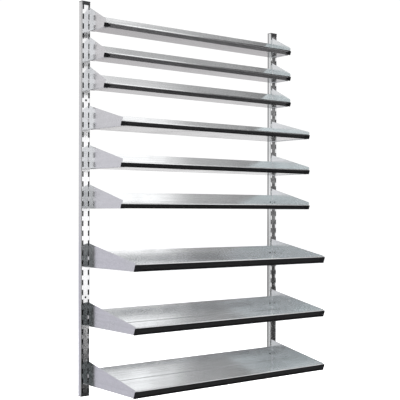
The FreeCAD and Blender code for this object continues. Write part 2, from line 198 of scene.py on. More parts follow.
class RackStudioSettings(bpy.types.PropertyGroup):
    """The camera, floor and light of the studio."""

    camera_place: FloatVectorProperty(
        name="Camera Place", description="Where the camera stands",
        default=(-3.0024, -3.9088, -0.0619), size=3, unit="LENGTH", subtype="XYZ")
    camera_turn: FloatProperty(
        name="Camera Turn", description="How far the camera turns to the right from facing the rack",
        default=math.radians(38.366), unit="ROTATION", subtype="ANGLE")
    camera_roll: FloatProperty(
        name="Camera Roll", description="How far the camera leans to its left",
        default=math.radians(0.15), unit="ROTATION", subtype="ANGLE")
    lens: FloatProperty(
        name="Lens", description="Focal length on a 36 mm wide sensor",
        default=80.2, min=1, unit="CAMERA")
    frame_side: FloatProperty(
        name="Frame Side", description="Sideways shift of the frame, as a share of its width",
        default=-0.0007, min=-0.5, max=0.5, subtype="FACTOR")
    frame_rise: FloatProperty(
        name="Frame Rise", description="Upward shift of the frame, as a share of its width",
        default=0.0281, min=-0.5, max=0.5, subtype="FACTOR")
    floor_drop: FloatProperty(
        name="Floor Drop", description="Height of the rack's foot above the floor",
        default=0.30, min=0, unit="LENGTH")
    floor_radius: FloatProperty(
        name="Floor Radius", description="Radius of the round floor",
        default=40.0, min=1, unit="LENGTH")
    floor_colour: FloatVectorProperty(
        name="Floor", description="Colour of the pale floor",
        default=(0.93, 0.93, 0.93), size=3, min=0, max=1, subtype="COLOR")
    floor_glow: FloatProperty(
        name="Floor Glow", description="Light of its own that keeps the floor white far from the lamp",
        default=0.6, min=0)
    card_glow: FloatProperty(
        name="Card Glow", description="Brightness of the soft card in front, which the trays mirror",
        default=1.3, min=0)
    card_place: FloatVectorProperty(
        name="Card Place", description="Lower left corner of the soft card in front",
        default=(0.62, -2.0, -1.15), size=3, unit="LENGTH", subtype="XYZ")
    card_size: FloatVectorProperty(
        name="Card Size", description="Width and height of the soft card in front",
        default=(1.0, 2.5), size=2, unit="LENGTH", subtype="XYZ")
    lamp_power: FloatProperty(
        name="Lamp Power", description="Power of the soft lamp overhead, in watts",
        default=650.0, min=0, unit="POWER")
    lamp_size: FloatProperty(
        name="Lamp Size", description="Width of the soft lamp overhead",
        default=4.0, min=0.1, unit="LENGTH")
    lamp_height: FloatProperty(
        name="Lamp Height", description="Height of the soft lamp above the rack's middle",
        default=3.6, min=0.1, unit="LENGTH")


def node_group(name, inputs, outputs):
    """An empty shader group with float, colour or vector sockets, given as (name, type, default)."""
    group = bpy.data.node_groups.new(name, "ShaderNodeTree")
    for socket_name, kind, default in inputs:
        socket = group.interface.new_socket(socket_name, in_out="INPUT", socket_type=kind)
        if default is not None:
            socket.default_value = default
    for socket_name, kind in outputs:
        group.interface.new_socket(socket_name, in_out="OUTPUT", socket_type=kind)
    entry = group.nodes.new("NodeGroupInput")
    leave = group.nodes.new("NodeGroupOutput")
    return group, entry.outputs, leave.inputs


def math_node(tree, operation, first, second=0.0, clamp=False):
    """A math node on two values, each a number or a socket."""
    node = tree.nodes.new("ShaderNodeMath")
    node.operation = operation
    node.use_clamp = clamp
    for socket, value in zip(node.inputs, (first, second)):
        if isinstance(value, (int, float)):
            socket.default_value = value
        else:
            tree.links.new(value, socket)
    return node.outputs[0]


def map_range(tree, value, low, high, to_low=0.0, to_high=1.0, smooth=True):
    """Maps a value from low..high to to_low..to_high, held at the ends."""
    node = tree.nodes.new("ShaderNodeMapRange")
    node.interpolation_type = "SMOOTHSTEP" if smooth else "LINEAR"
    node.clamp = True
    tree.links.new(value, node.inputs["Value"])
    for name, number in (("From Min", low), ("From Max", high), ("To Min", to_low), ("To Max", to_high)):
        if isinstance(number, (int, float)):
            node.inputs[name].default_value = number
        else:
            tree.links.new(number, node.inputs[name])
    return node.outputs[0]


def mix_colour(tree, factor, first, second, blend="MIX"):
    """A colour mix of two colours, each a tuple or a socket."""
    node = tree.nodes.new("ShaderNodeMix")
    node.data_type = "RGBA"
    node.blend_type = blend
    sockets = (node.inputs["Factor"], node.inputs[6], node.inputs[7])
    for socket, value in zip(sockets, (factor, first, second)):
        if isinstance(value, bpy.types.NodeSocket):
            tree.links.new(value, socket)
        elif isinstance(value, (int, float)):
            socket.default_value = value
        else:
            socket.default_value = (*value[:3], 1.0)
    return node.outputs[2]


def axes(tree, vector):
    """The X, Y and Z of a vector socket."""
    node = tree.nodes.new("ShaderNodeSeparateXYZ")
    tree.links.new(vector, node.inputs[0])
    return node.outputs


def noise(tree, place, **values):
    """A noise texture at a place, with values for its inputs."""
    node = tree.nodes.new("ShaderNodeTexNoise")
    tree.links.new(place, node.inputs["Vector"])
    for name, value in values.items():
        node.inputs[name].default_value = value
    return node


def zinc_spangle_group():
    """Zinc crystals: a tone for each crystal, and the thin borders between them."""
    group, given, out = node_group(
        "zinc_spangle",
        [("Vector", "NodeSocketVector", None), ("Crystals", "NodeSocketFloat", 110.0)],
        [("Tone", "NodeSocketFloat"), ("Border", "NodeSocketFloat")])
    warp = noise(group, given["Vector"], Detail=3.0)
    group.links.new(given["Crystals"], warp.inputs["Scale"])
    bend = group.nodes.new("ShaderNodeVectorMath")
    bend.operation = "MULTIPLY_ADD"
    bend.inputs[1].default_value = (0.006, 0.006, 0.006)
    group.links.new(warp.outputs["Color"], bend.inputs[0])
    group.links.new(given["Vector"], bend.inputs[2])
    cells = group.nodes.new("ShaderNodeTexVoronoi")
    borders = group.nodes.new("ShaderNodeTexVoronoi")
    borders.feature = "DISTANCE_TO_EDGE"
    for cell in (cells, borders):
        group.links.new(bend.outputs[0], cell.inputs["Vector"])
        group.links.new(given["Crystals"], cell.inputs["Scale"])
    split = group.nodes.new("ShaderNodeSeparateColor")
    group.links.new(cells.outputs["Color"], split.inputs[0])
    group.links.new(split.outputs[0], out["Tone"])
    group.links.new(map_range(group, borders.outputs["Distance"], 0.0, 0.08, 1.0, 0.0), out["Border"])
    return group


def rolled_grain_group():
    """Rolling marks along one way of the sheet: fine streaks and broad bands."""
    group, given, out = node_group(
        "rolled_grain",
        [("Vector", "NodeSocketVector", None)],
        [("Streak", "NodeSocketFloat"), ("Band", "NodeSocketFloat")])
    streak = noise(group, given["Vector"], Scale=1.0, Detail=4.0, Roughness=0.6)
    band = noise(group, given["Vector"], Scale=0.15, Detail=3.0)
    group.links.new(map_range(group, streak.outputs["Fac"], 0.3, 0.7), out["Streak"])
    group.links.new(map_range(group, band.outputs["Fac"], 0.3, 0.7), out["Band"])
    return group


def handling_group():
    """Marks of handling: soft smudges, sparse scuffs and a film of dust on faces that look up."""
    group, given, out = node_group(
        "handling",
        [("Vector", "NodeSocketVector", None)],
        [("Smudge", "NodeSocketFloat"), ("Scuff", "NodeSocketFloat"), ("Dust", "NodeSocketFloat")])
    smudge = noise(group, given["Vector"], Scale=7.0, Detail=5.0)
    scuff = noise(group, given["Vector"], Scale=60.0, Detail=6.0, Distortion=1.5)
    speck = noise(group, given["Vector"], Scale=420.0, Detail=3.0)
    facing = group.nodes.new("ShaderNodeNewGeometry")
    upward = map_range(group, axes(group, facing.outputs["Normal"])["Z"], 0.4, 0.95)
    specks = map_range(group, speck.outputs["Fac"], 0.45, 0.75)
    group.links.new(map_range(group, smudge.outputs["Fac"], 0.42, 0.68), out["Smudge"])
    group.links.new(map_range(group, scuff.outputs["Fac"], 0.62, 0.74), out["Scuff"])
    group.links.new(math_node(group, "MULTIPLY", upward, specks), out["Dust"])
    return group


def worn_and_lit_edges_group():
    """A mask along the edges of a piece, broken up by noise. It lightens edges, partly as wear and partly as
    a painted highlight.
    """
    group, given, out = node_group(
        "worn_and_lit_edges",
        [("Vector", "NodeSocketVector", None), ("Width", "NodeSocketFloat", 0.0012)],
        [("Edge", "NodeSocketFloat")])
    soft = group.nodes.new("ShaderNodeBevel")
    soft.samples = 4
    group.links.new(given["Width"], soft.inputs["Radius"])
    hard = group.nodes.new("ShaderNodeNewGeometry")
    compare = group.nodes.new("ShaderNodeVectorMath")
    compare.operation = "DOT_PRODUCT"
    group.links.new(soft.outputs[0], compare.inputs[0])
    group.links.new(hard.outputs["Normal"], compare.inputs[1])
    chips = noise(group, given["Vector"], Scale=180.0)
    near_edge = map_range(group, compare.outputs["Value"], 0.75, 0.98, 1.0, 0.0)
    broken = map_range(group, chips.outputs["Fac"], 0.3, 0.6, 0.35, 1.0)
    group.links.new(math_node(group, "MULTIPLY", near_edge, broken), out["Edge"])
    return group


class Finish:
    """A procedural material on a Principled shader, built up by adding effect groups."""

    groups = {}

    def __init__(self, name, metallic, specular=0.5):
        self.material = bpy.data.materials.new(name)
        self.material.use_nodes = True
        self.tree = self.material.node_tree
        self.shader = self.tree.nodes["Principled BSDF"]
        self.shader.inputs["Metallic"].default_value = metallic
        self.shader.inputs["Specular IOR Level"].default_value = specular
        self.place = self.tree.nodes.new("ShaderNodeTexCoord").outputs["Object"]

    def group(self, build, scale=None):
        """Places one of the shared effect groups, on the piece's own coordinates."""
        if build.__name__ not in Finish.groups:
            Finish.groups[build.__name__] = build()
        node = self.tree.nodes.new("ShaderNodeGroup")
        node.node_tree = Finish.groups[build.__name__]
        place = self.place
        if scale is not None:
            stretch = self.tree.nodes.new("ShaderNodeMapping")
            stretch.inputs["Scale"].default_value = scale
            self.tree.links.new(place, stretch.inputs["Vector"])
            place = stretch.outputs[0]
        self.tree.links.new(place, node.inputs["Vector"])
        return node

    def colour(self, socket):
        """Colours the surface from a socket."""
        self.tree.links.new(socket, self.shader.inputs["Base Color"])

    def roughness(self, socket):
        """Roughens the surface from a socket."""
        self.tree.links.new(socket, self.shader.inputs["Roughness"])

    def bump(self, height, distance, strength, under=None):
        """Raises the surface by a height, on top of an earlier bump where one is given."""
        node = self.tree.nodes.new("ShaderNodeBump")
        node.inputs["Distance"].default_value = distance
        node.inputs["Strength"].default_value = strength
        self.tree.links.new(height, node.inputs["Height"])
        if under is not None:
            self.tree.links.new(under, node.inputs["Normal"])
        self.tree.links.new(node.outputs[0], self.shader.inputs["Normal"])
        return node.outputs[0]


def shade(colour, factor):
    """A colour, made lighter or darker by a factor."""
    return tuple(min(1.0, channel * factor) for channel in colour)


def inside_tube_group():
    """A mask of the inside of the two tubes and of the cut edges of their slots."""
    group, given, out = node_group(
        "inside_tube",
        [("Vector", "NodeSocketVector", None), ("Spacing", "NodeSocketFloat", 1.3),
         ("Width", "NodeSocketFloat", 0.05), ("Depth", "NodeSocketFloat", 0.03),
         ("Skin", "NodeSocketFloat", 0.0004)],
        [("Inside", "NodeSocketFloat")])
    place = axes(group, given["Vector"])
    half_spacing = math_node(group, "MULTIPLY", given["Spacing"], 0.5)
    from_middle = math_node(group, "SUBTRACT", math_node(group, "ABSOLUTE", place["X"]), half_spacing)
    half_width = math_node(group, "MULTIPLY", given["Width"], 0.5)
    side_limit = math_node(group, "SUBTRACT", half_width, given["Skin"])
    between_sides = math_node(group, "LESS_THAN", math_node(group, "ABSOLUTE", from_middle), side_limit)
    behind_front = math_node(group, "GREATER_THAN", place["Y"], given["Skin"])
    back_limit = math_node(group, "SUBTRACT", given["Depth"], given["Skin"])
    before_back = math_node(group, "LESS_THAN", place["Y"], back_limit)
    within = math_node(group, "MULTIPLY", behind_front, before_back)
    group.links.new(math_node(group, "MULTIPLY", between_sides, within), out["Inside"])
    return group


def crowned_face_group():
    """The height of a tube's crowned front face, and a mask of the tube's sides near the wall, where shade is
    painted.

    The face falls by Lean, a slope, on both sides of a flat middle. Skin is how exactly a face is told.
    """
    group, given, out = node_group(
        "crowned_face",
        [("Vector", "NodeSocketVector", None), ("Centre", "NodeSocketFloat", 0.65),
         ("Width", "NodeSocketFloat", 0.05), ("Flat", "NodeSocketFloat", 0.027),
         ("Lean", "NodeSocketFloat", 0.096), ("Skin", "NodeSocketFloat", 0.0004)],
        [("Height", "NodeSocketFloat"), ("Near Wall", "NodeSocketFloat")])
    place = axes(group, given["Vector"])
    aside = math_node(group, "ABSOLUTE", math_node(group, "SUBTRACT", place["X"], given["Centre"]))
    half_flat = math_node(group, "MULTIPLY", given["Flat"], 0.5)
    beyond = math_node(group, "MAXIMUM", math_node(group, "SUBTRACT", aside, half_flat), 0.0)
    in_front = math_node(group, "LESS_THAN", place["Y"], given["Skin"])
    fall = math_node(group, "MULTIPLY", beyond, math_node(group, "MULTIPLY", in_front, given["Lean"]))
    group.links.new(math_node(group, "MULTIPLY", fall, -1.0), out["Height"])
    half_width = math_node(group, "MULTIPLY", given["Width"], 0.5)
    side_limit = math_node(group, "SUBTRACT", half_width, given["Skin"])
    on_side = math_node(group, "GREATER_THAN", aside, side_limit)
    # Painted shade on the sides starts and is full at these depths, near the wall.
    shade_starts, shade_full = 0.010, 0.016  # depths behind the front face
    rear = map_range(group, place["Y"], shade_starts, shade_full)
    group.links.new(math_node(group, "MULTIPLY", on_side, rear), out["Near Wall"])
    return group


def grain_scale(axis):
    """The stretch of the rolling marks that run along an axis, 0 to 2."""
    look = bpy.context.scene.rack_finish
    scale = [1.0 / look.grain_width] * 3
    scale[axis] = 1.0 / look.grain_length
    return scale


def steel_finish(name, colour, grain_axis, spangle, streaks, gloss, tube=None, crown=None):
    """Bright zinc-coated sheet: crystals, rolling marks along one axis, smudges and bright edges that are
    partly wear, partly painted highlight.

    spangle and streaks are how much the crystals and the rolling marks show, from 0 to 1, and gloss is
    the lowest and highest roughness.
    tube is the spacing, width and depth of the two tubes, for a finish whose inside is painted shade, a
    near-black colour. crown is the X of the middle of a tube that has a crowned front, a coated inside
    instead and painted shade on its sides near the wall.
    """
    look = bpy.context.scene.rack_finish
    finish = Finish(name, metallic=1.0)
    tree = finish.tree
    crystals = finish.group(zinc_spangle_group)
    crystals.inputs["Crystals"].default_value = 1.0 / look.spangle_size
    grain = finish.group(rolled_grain_group, grain_scale(grain_axis))
    marks = finish.group(handling_group)
    worn_lit_edge = finish.group(worn_and_lit_edges_group)
    worn_lit_edge.inputs["Width"].default_value = look.edge_width

    dull, bright = shade(colour, 1 - 0.16 * spangle), shade(colour, 1.02)
    tone = mix_colour(tree, crystals.outputs["Tone"], dull, bright)
    tints = (  # mask, how much of it shows, and how light it makes the zinc
        (grain.outputs["Streak"], 0.25 * streaks, 0.55),
        (grain.outputs["Band"], 0.6 * streaks, 0.7),
        (marks.outputs["Smudge"], 0.08, 0.62),
        # Edges are lightened: partly wear, partly a painted highlight.
        (worn_lit_edge.outputs["Edge"], 0.6, 1.12))
    for mask, amount, lightness in tints:
        tone = mix_colour(tree, math_node(tree, "MULTIPLY", mask, amount), tone, shade(colour, lightness))
    low, high = gloss
    spread = (high - low) * spangle
    rough = map_range(tree, crystals.outputs["Tone"], 0.0, 1.0, low, low + spread, smooth=False)
    dulling = (  # mask, and how much roughness it adds
        (grain.outputs["Streak"], 0.04),
        (grain.outputs["Band"], 0.08 * streaks),
        (marks.outputs["Smudge"], 0.05),
        (marks.outputs["Dust"], 0.06))
    for mask, amount in dulling:
        rough = math_node(tree, "ADD", rough, math_node(tree, "MULTIPLY", mask, amount), clamp=True)
    if tube:
        hollow = finish.group(inside_tube_group)
        for socket, size in zip(("Spacing", "Width", "Depth"), tube):
            hollow.inputs[socket].default_value = size
        # The left upright's inside gets painted shade, a near-black colour; the right upright's inside keeps
        # its coated colour.
        inside = tuple(look.inside_shade_colour if crown is None else look.coated_colour)
        tone = mix_colour(tree, hollow.outputs["Inside"], tone, inside)
        rough = map_range(tree, hollow.outputs["Inside"], 0.0, 1.0, rough, 0.75, smooth=False)
    under = None
    if crown is not None:
        face = finish.group(crowned_face_group)
        sizes = {"Centre": crown, "Width": tube[1], "Flat": look.crown_flat,
                 "Lean": math.tan(look.crown_lean)}
        for socket, size in sizes.items():
            face.inputs[socket].default_value = size
        # Painted shadow of the wall: the sides near the wall are darkened.
        wall_shade = math_node(tree, "MULTIPLY", face.outputs["Near Wall"], 0.9)
        tone = mix_colour(tree, wall_shade, tone, shade(colour, 0.38))
        under = finish.bump(face.outputs["Height"], 1.0, 1.0)
    finish.colour(tone)
    finish.roughness(rough)

    height = math_node(tree, "MULTIPLY", crystals.outputs["Border"], spangle)
    height = math_node(tree, "ADD", height, math_node(tree, "MULTIPLY", grain.outputs["Streak"], streaks / 2))
    finish.bump(height, 0.00001, 0.2, under)
    return finish.material


def lighter_near_top(finish, tone, top_tone):
    """A tone that goes over to another one towards the top of the rack."""
    top = CAD_BOX[1].z
    top_share = map_range(finish.tree, axes(finish.tree, finish.place)["Z"], 0.25 * top, 0.95 * top)
    return mix_colour(finish.tree, top_share, tone, top_tone)


def strip_finish(name, lightens_to_top):
    """Black extruded plastic: drawing lines along the strip, light scuffs and edges lightened partly by
    rubbing and partly as a painted highlight.

    Where it is set to lighten, strips higher up the rack are a lighter grey.
    """
    look = bpy.context.scene.rack_finish
    finish = Finish(name, metallic=0.0, specular=0.06)
    tree = finish.tree
    lines = finish.group(rolled_grain_group, grain_scale(0))
    marks = finish.group(handling_group)
    worn_lit_edge = finish.group(worn_and_lit_edges_group)
    worn_lit_edge.inputs["Width"].default_value = look.edge_width / 2
    colour = tuple(look.strip_colour)
    tone = mix_colour(tree, lines.outputs["Band"], colour, shade(colour, 1.7))
    # Strips go over to a lighter grey towards the top of the rack.
    if lightens_to_top:
        tone = lighter_near_top(finish, tone, tuple(look.top_strip_colour))
    scuffed = math_node(tree, "MULTIPLY", marks.outputs["Scuff"], 0.08)
    tone = mix_colour(tree, scuffed, tone, (0.08, 0.08, 0.08))
    # Edges go lighter: partly rubbed wear, partly a painted highlight.
    rubbed_and_lit = math_node(tree, "MULTIPLY", worn_lit_edge.outputs["Edge"], 0.12)
    finish.colour(mix_colour(tree, rubbed_and_lit, tone, (0.06, 0.06, 0.06)))
    rough = map_range(tree, lines.outputs["Streak"], 0.0, 1.0, 0.24, 0.36, smooth=False)
    smudged = math_node(tree, "MULTIPLY", marks.outputs["Smudge"], 0.12)
    finish.roughness(math_node(tree, "ADD", rough, smudged))
    finish.bump(lines.outputs["Streak"], 0.00003, 0.3)
    return finish.material


def ticket_bed_finish():
    """The bed that tickets lie on, between the strip's lips: matte, with a fine drawn texture."""
    look = bpy.context.scene.rack_finish
    finish = Finish("ticket_bed_plastic", metallic=0.0, specular=0.06)
    tree = finish.tree
    lines = finish.group(rolled_grain_group, grain_scale(0))
    marks = finish.group(handling_group)
    colour = tuple(look.bed_colour)
    tone = mix_colour(tree, lines.outputs["Streak"], shade(colour, 0.8), shade(colour, 1.25))
    # The bed goes over to a lighter grey towards the top of the rack.
    tone = lighter_near_top(finish, tone, shade(tuple(look.top_strip_colour), 1.2))
    dusted = math_node(tree, "MULTIPLY", marks.outputs["Smudge"], 0.2)
    finish.colour(mix_colour(tree, dusted, tone, shade(colour, 1.6)))
    finish.roughness(map_range(tree, lines.outputs["Streak"], 0.0, 1.0, 0.5, 0.66, smooth=False))
    finish.bump(lines.outputs["Streak"], 0.00004, 0.4)
    return finish.material


def cap_finish():
    """Moulded black plastic with a fine spark-eroded texture."""
    look = bpy.context.scene.rack_finish
    finish = Finish("end_cap_plastic", metallic=0.0, specular=0.4)
    tree = finish.tree
    marks = finish.group(handling_group)
    grit = noise(tree, finish.place, Scale=1500.0, Detail=2.0)
    colour = tuple(look.cap_colour)
    tone = mix_colour(tree, grit.outputs["Fac"], shade(colour, 0.7), shade(colour, 1.5))
    dusted = math_node(tree, "MULTIPLY", marks.outputs["Dust"], 0.25)
    finish.colour(mix_colour(tree, dusted, tone, (0.22, 0.21, 0.20)))
    finish.roughness(map_range(tree, grit.outputs["Fac"], 0.2, 0.8, 0.45, 0.68))
    finish.bump(grit.outputs["Fac"], 0.00008, 0.5)
    return finish.material


def screw_finish():
    """Black zinc plate, bright along its edges, partly from rubbing and partly as a painted highlight."""
    look = bpy.context.scene.rack_finish
    finish = Finish("screw_zinc_plate", metallic=1.0)
    tree = finish.tree
    marks = finish.group(handling_group)
    worn_lit_edge = finish.group(worn_and_lit_edges_group)
    worn_lit_edge.inputs["Width"].default_value = 0.0003
    colour = tuple(look.screw_colour)
    tone = mix_colour(tree, marks.outputs["Scuff"], colour, shade(colour, 0.6))
    # Edges go lighter: partly rubbed wear, partly a painted highlight.
    finish.colour(mix_colour(tree, worn_lit_edge.outputs["Edge"], tone, shade(colour, 1.2)))
    finish.roughness(map_range(tree, marks.outputs["Scuff"], 0.0, 1.0, 0.22, 0.4))
    finish.bump(marks.outputs["Scuff"], 0.00002, 0.3)
    return finish.material


def dress(node, material):
    """Gives a CAD node this material in all its slots."""
    mesh = frame["nodes"][node].data
    mesh.materials.clear()
    mesh.materials.append(material)


def rounded_outline(corners, steps):
    """The points of a closed outline, from corners given as (u, v, radius)."""
    points = []
    for number, (u, v, radius) in enumerate(corners):
        here = Vector((u, v))
        before = (Vector(corners[number - 1][:2]) - here).normalized()
        after = (Vector(corners[(number + 1) % len(corners)][:2]) - here).normalized()
        if radius == 0:
            points.append(here)
            continue
        half = before.angle(after) / 2
        centre = here + (before + after).normalized() * (radius / math.sin(half))
        start = here + before * (radius / math.tan(half)) - centre
        sweep = math.copysign(math.pi - 2 * half, after.cross(before))
        for step in range(steps + 1):
            points.append(centre + Matrix.Rotation(sweep * step / steps, 2) @ start)
    return points


def strip_section(height, settings):
    """The strip's outline, as distances up its back wall and out from it: a wall with two curled lips."""
    depth, wall = settings.depth, settings.wall
    lip = height * settings.lip_share
    tip = wall * 0.48
    inner = wall / 2
    foot = [(0, 0, 0), (0, depth, settings.rounding), (lip, depth, tip), (lip, depth - wall, tip),
            (wall, depth - wall, inner), (wall, wall, inner)]
    top = [(height - u, v, radius) for u, v, radius in reversed(foot)]
    return rounded_outline(foot + top, settings.steps)


def finished_mesh(name, shape):
    """The mesh of a closed shape, sharp where its sides meet steeply. The shape is freed."""
    bmesh.ops.recalc_face_normals(shape, faces=shape.faces)
    mesh = bpy.data.meshes.new(name)
    shape.to_mesh(mesh)
    shape.free()
    mesh.set_sharp_from_angle(angle=SHARP_ANGLE)
    return mesh


def strip_mesh(name, low, high, settings):
    """A ticket strip in the box of its CAD node, with its bed as a second material."""
    rise, run = math.cos(settings.lean), math.sin(settings.lean)
    height = (high.z - low.z - settings.depth * run) / rise
    foot_y, foot_z = high.y, low.z + settings.depth * run
    outline = strip_section(height, settings)
    shape = bmesh.new()
    ends = []
    for x in (low.x, high.x):
        spots = [(x, foot_y - up * run - out * rise, foot_z + up * rise - out * run) for up, out in outline]
        ends.append([shape.verts.new(spot) for spot in spots])
    count = len(outline)
    for here in range(count):
        there = (here + 1) % count
        wall = shape.faces.new((ends[0][here], ends[0][there], ends[1][there], ends[1][here]))
        wall.smooth = True
        middle = (outline[here] + outline[there]) / 2
        on_bed = abs(middle.y - settings.wall) < settings.wall / 4
        wall.material_index = 1 if on_bed and settings.wall < middle.x < height - settings.wall else 0
    for end in ends:
        shape.faces.new(end)
    return finished_mesh(name, shape)


def screw_mesh(name, centres, head_radius, tip_y, settings):
    """Screws along +Y with domed heads and hexagonal sockets, as one mesh.

    centres are the middles of the heads' outer faces, and tip_y is where the shanks end.
    """
    shape = bmesh.new()
    sides = settings.sides
    dome = settings.head_height * settings.dome_share
    socket_radius, socket_taper = settings.socket_width / 2, 0.9
    shank_radius = settings.shank_diameter / 2
    for centre in centres:
        def ring(radius, y, count=sides):
            """A ring of points about the screw's axis."""
            turns = [2 * math.pi * corner / count for corner in range(count)]
            spots = [(centre.x + radius * math.cos(t), y, centre.z + radius * math.sin(t)) for t in turns]
            return [shape.verts.new(spot) for spot in spots]

        def bridge(first, second):
            """Faces between two rings of as many points."""
            for here in range(len(first)):
                there = (here + 1) % len(first)
                shape.faces.new((first[here], first[there], second[there], second[here]))

        rings = []
        steps, flat_share = 6, 0.22
        for step in range(steps):
            turn = math.pi / 2 * (flat_share + (1 - flat_share) * step / (steps - 1))
            rings.append(ring(head_radius * math.sin(turn), centre.y + dome * (1 - math.cos(turn))))
        rings.append(ring(head_radius, centre.y + settings.head_height))
        rings.append(ring(shank_radius, centre.y + settings.head_height))
        rings.append(ring(shank_radius, tip_y - shank_radius / 2))
        rings.append(ring(shank_radius / 2, tip_y))
        for first, second in zip(rings, rings[1:]):
            bridge(first, second)
        shape.faces.new(rings[-1])
        mouth_y = rings[0][0].co.y
        mouth = ring(socket_radius, mouth_y, SOCKET_CORNERS)
        floor = ring(socket_radius * socket_taper, mouth_y + settings.socket_depth, SOCKET_CORNERS)
        bridge(floor, mouth)
        shape.faces.new(floor)
        per_side = sides // SOCKET_CORNERS
        for side in range(SOCKET_CORNERS):
            rim = [rings[0][(side * per_side + k) % sides] for k in range(per_side + 1)]
            shape.faces.new([mouth[side]] + rim + [mouth[(side + 1) % SOCKET_CORNERS]])
    for face in shape.faces:
        face.smooth = len(face.verts) == 4
    return finished_mesh(name, shape)


class RACK_OT_finish_uprights(bpy.types.Operator):
    """Give the slotted uprights their zinc finish"""

    bl_idname = "rack.finish_uprights"
    bl_label = "Finish Uprights"

    def execute(self, context):
        colour = tuple(context.scene.rack_finish.upright_colour)
        left_low, left_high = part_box("left_upright")
        right_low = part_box("right_upright")[0]
        tube = (right_low.x - left_low.x, left_high.x - left_low.x, left_high.y - left_low.y)
        crowns = {"left": None, "right": tube[0] / 2}
        for side in SIDES:
            zinc = steel_finish(
                side + "_upright_zinc", colour, grain_axis=2, spangle=0.5, streaks=0.3, gloss=(0.06, 0.12),
                tube=tube, crown=crowns[side])
            dress(side + "_upright", zinc)
        return {"FINISHED"}


class RACK_OT_finish_caps(bpy.types.Operator):
    """Give the end caps of the uprights their moulded finish"""

    bl_idname = "rack.finish_caps"
    bl_label = "Finish End Caps"

    def execute(self, context):
        plastic = cap_finish()
        for side in SIDES:
            for end in ("top", "bottom"):
                dress("%s_%s_cap" % (side, end), plastic)
        return {"FINISHED"}


class RACK_OT_finish_trays(bpy.types.Operator):
    """Give the folded trays their bright rolled finish"""

    bl_idname = "rack.finish_trays"
    bl_label = "Finish Trays"

    def execute(self, context):
        colour = tuple(context.scene.rack_finish.tray_colour)
        bright = steel_finish(
            "tray_bright_steel", colour, grain_axis=0, spangle=0.05, streaks=0.5, gloss=(0.12, 0.17))
        for shelf in SHELVES:
            dress(shelf + "_tray", bright)
        return {"FINISHED"}


class RACK_OT_finish_brackets(bpy.types.Operator):
    """Give the side brackets their satin zinc finish"""

    bl_idname = "rack.finish_brackets"
    bl_label = "Finish Brackets"

    def execute(self, context):
        colour = tuple(context.scene.rack_finish.bracket_colour)
        satin = steel_finish(
            "bracket_satin_zinc", colour, grain_axis=1, spangle=0.25, streaks=0.3, gloss=(0.16, 0.24))
        for shelf in SHELVES:
            for side in SIDES:
                dress("%s_%s_bracket" % (shelf, side), satin)
        return {"FINISHED"}


class RACK_OT_build_ticket_strips(bpy.types.Operator):
    """Build the ticket strips with curled lips and a matte bed, and finish their moulded ends"""

    bl_idname = "rack.build_ticket_strips"
    bl_label = "Build Ticket Strips"

    def execute(self, context):
        lips = strip_finish("ticket_strip_plastic", lightens_to_top=True)
        ends = strip_finish("strip_end_plastic", lightens_to_top=False)
        bed = ticket_bed_finish()
        for shelf in SHELVES:
            node = shelf + "_ticket_strip"
            name = shelf + "_ticket_channel"
            mesh = strip_mesh(name, *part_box(node), context.scene.rack_strips)
            mesh.materials.append(lips)
            mesh.materials.append(bed)
            strip = bpy.data.objects.new(name, mesh)
            context.scene.collection.objects.link(strip)
            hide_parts(node)
            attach(strip, shelf)
            dress(shelf + "_strip_ends", ends)
        return {"FINISHED"}


class RACK_OT_build_screws(bpy.types.Operator):
    """Build the screws that hold each tray to its brackets, with domed heads and driver sockets"""

    bl_idname = "rack.build_screws"
    bl_label = "Build Screws"

    def execute(self, context):
        settings = context.scene.rack_screws
        plate = screw_finish()
        for shelf in SHELVES:
            node = shelf + "_screws"
            low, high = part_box(node)
            head_radius = (high.z - low.z) / 2
            corner_radius = head_radius / math.cos(math.pi / CAD_SCREW_SIDES)
            middle_z = (low.z + high.z) / 2
            spots = (low.x + corner_radius, high.x - corner_radius)
            centres = [Vector((x, low.y, middle_z)) for x in spots]
            name = shelf + "_screw_pair"
            screws = bpy.data.objects.new(name, screw_mesh(name, centres, head_radius, high.y, settings))
            context.scene.collection.objects.link(screws)
            screws.data.materials.append(plate)
            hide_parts(node)
            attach(screws, shelf)
        return {"FINISHED"}


